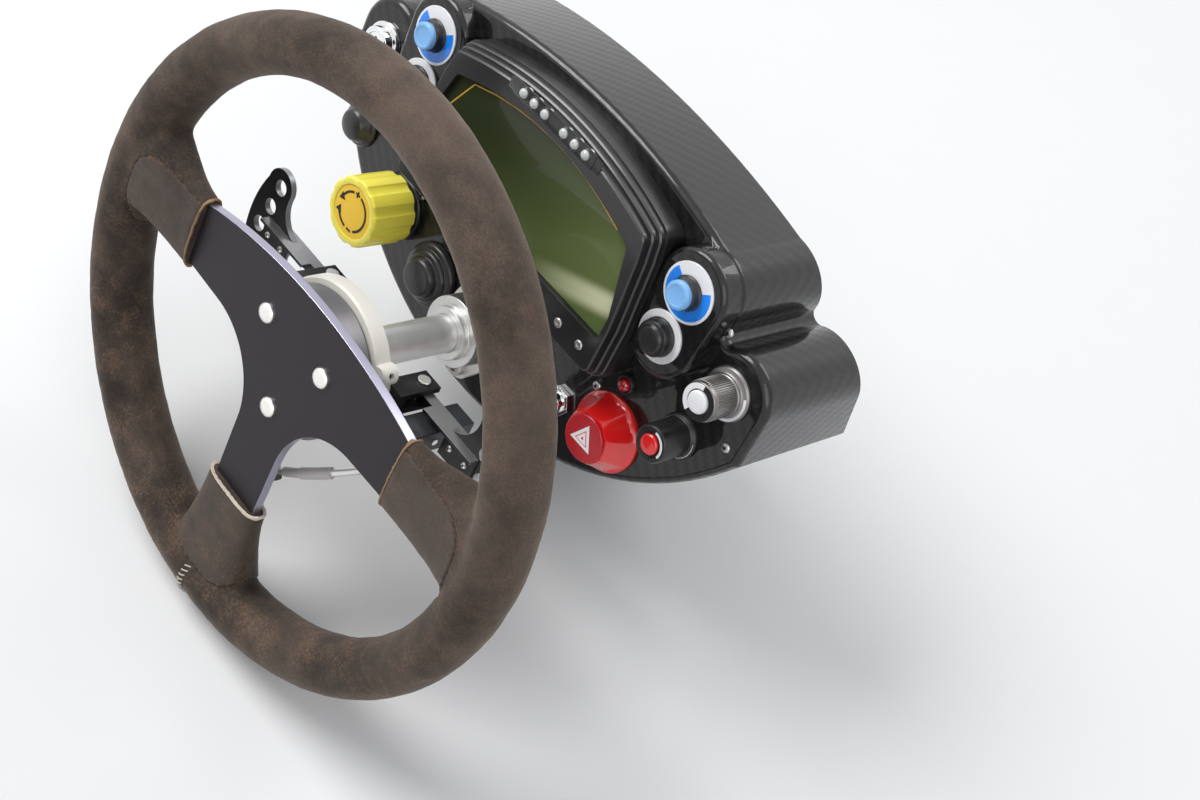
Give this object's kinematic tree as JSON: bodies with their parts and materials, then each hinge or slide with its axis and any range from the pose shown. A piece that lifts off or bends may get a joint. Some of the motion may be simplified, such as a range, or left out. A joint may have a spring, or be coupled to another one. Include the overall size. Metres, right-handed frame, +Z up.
{
  "type": "sports car steering wheel and instrument pod",
  "caption": "Steering wheel with paddles on its raked column, and the instrument pod that carries the display and switches.",
  "frame": {"origin": "centre of the forward face of the bulkhead plate, on the column's axis", "axes": "+X to the car's right, +Y forward, +Z up"},
  "size_m": [0.311, 0.335, 0.2944],
  "materials": {
    "suede": "brushed suede, worn tan in places",
    "black_anodised": "satin black anodised",
    "spacer_grey": "satin dark grey",
    "boss_cream": "matt cream",
    "zinc_steel": "bright zinc plated",
    "frame_steel": "satin black paint",
    "carbon": "lacquered carbon weave",
    "case_black": "satin charcoal moulding",
    "screen_green": "dark olive display glass",
    "lamp_clear": "clear domed lens",
    "blue": "blue and white printed dial",
    "light_blue": "light blue moulding",
    "white": "white printed dial",
    "black_plastic": "satin black moulding",
    "red": "red moulding",
    "dark_red": "dark red button",
    "yellow": "yellow moulding",
    "rubber": "black rubber",
    "chrome": "polished",
    "satin_silver": "satin turned",
    "red_jewel": "faceted red lens"
  },
  "bodies": {
    "wheel": {"rim": "suede", "spoke_plate": "black_anodised", "wheel_bolts": "chrome", "hub_spacer": "spacer_grey", "hub_boss": "boss_cream", "column_shaft": "zinc_steel", "paddle_carrier": "black_anodised", "paddle_pins": "chrome", "paddle_switch": "black_plastic"},
    "paddle_left": {"paddle_left": "black_anodised"},
    "paddle_right": {"paddle_right": "black_anodised"},
    "pod": {"column_bearing": "zinc_steel", "bearing_bolts": "zinc_steel", "column_sleeve": "frame_steel", "lower_bearing": "satin_silver", "bulkhead_plate": "frame_steel", "pod_shell": "carbon", "pod_stays": "frame_steel", "display_case": "case_black", "display_screen": "screen_green", "shift_lights": "lamp_clear", "display_buttons": "satin_silver", "display_connector": "black_plastic", "blue_dials": "blue", "dial_collars": "black_plastic", "dial_caps": "light_blue", "white_dials": "white", "push_knobs": "black_plastic", "hazard_base": "red", "hazard_button": "dark_red", "bias_base": "black_plastic", "bias_knob": "yellow", "telltale_bezel": "black_plastic", "telltale_lamp": "red_jewel", "rotary_barrel": "black_plastic", "rotary_cap": "red", "start_barrel": "satin_silver", "start_cap": "white", "key_lock": "chrome", "small_rubber_button": "rubber", "large_rubber_button": "rubber", "toggle_switch": "chrome", "toggle_bat": "chrome", "panel_nuts": "zinc_steel", "switch_bodies": "black_plastic"}
  },
  "joints": [
    {"name": "steering", "type": "hinge", "parent": "pod", "child": "wheel", "pos_m": [0, 0, 0], "axis": [0, -0.9397, 0.342], "range_deg": [-300, 300]},
    {"name": "pull_left", "type": "hinge", "parent": "wheel", "child": "paddle_left", "pos_m": [-0.0376, -0.1853, 0.07596], "axis": [0, 0.342, 0.9397], "range_deg": [0, 8], "stiffness_Nm_per_rad": 1.5, "springref_deg": -11.46},
    {"name": "pull_right", "type": "hinge", "parent": "wheel", "child": "paddle_right", "pos_m": [0.0376, -0.1853, 0.07596], "axis": [0, -0.342, -0.9397], "range_deg": [0, 8], "stiffness_Nm_per_rad": 1.5, "springref_deg": -11.46}
  ]
}
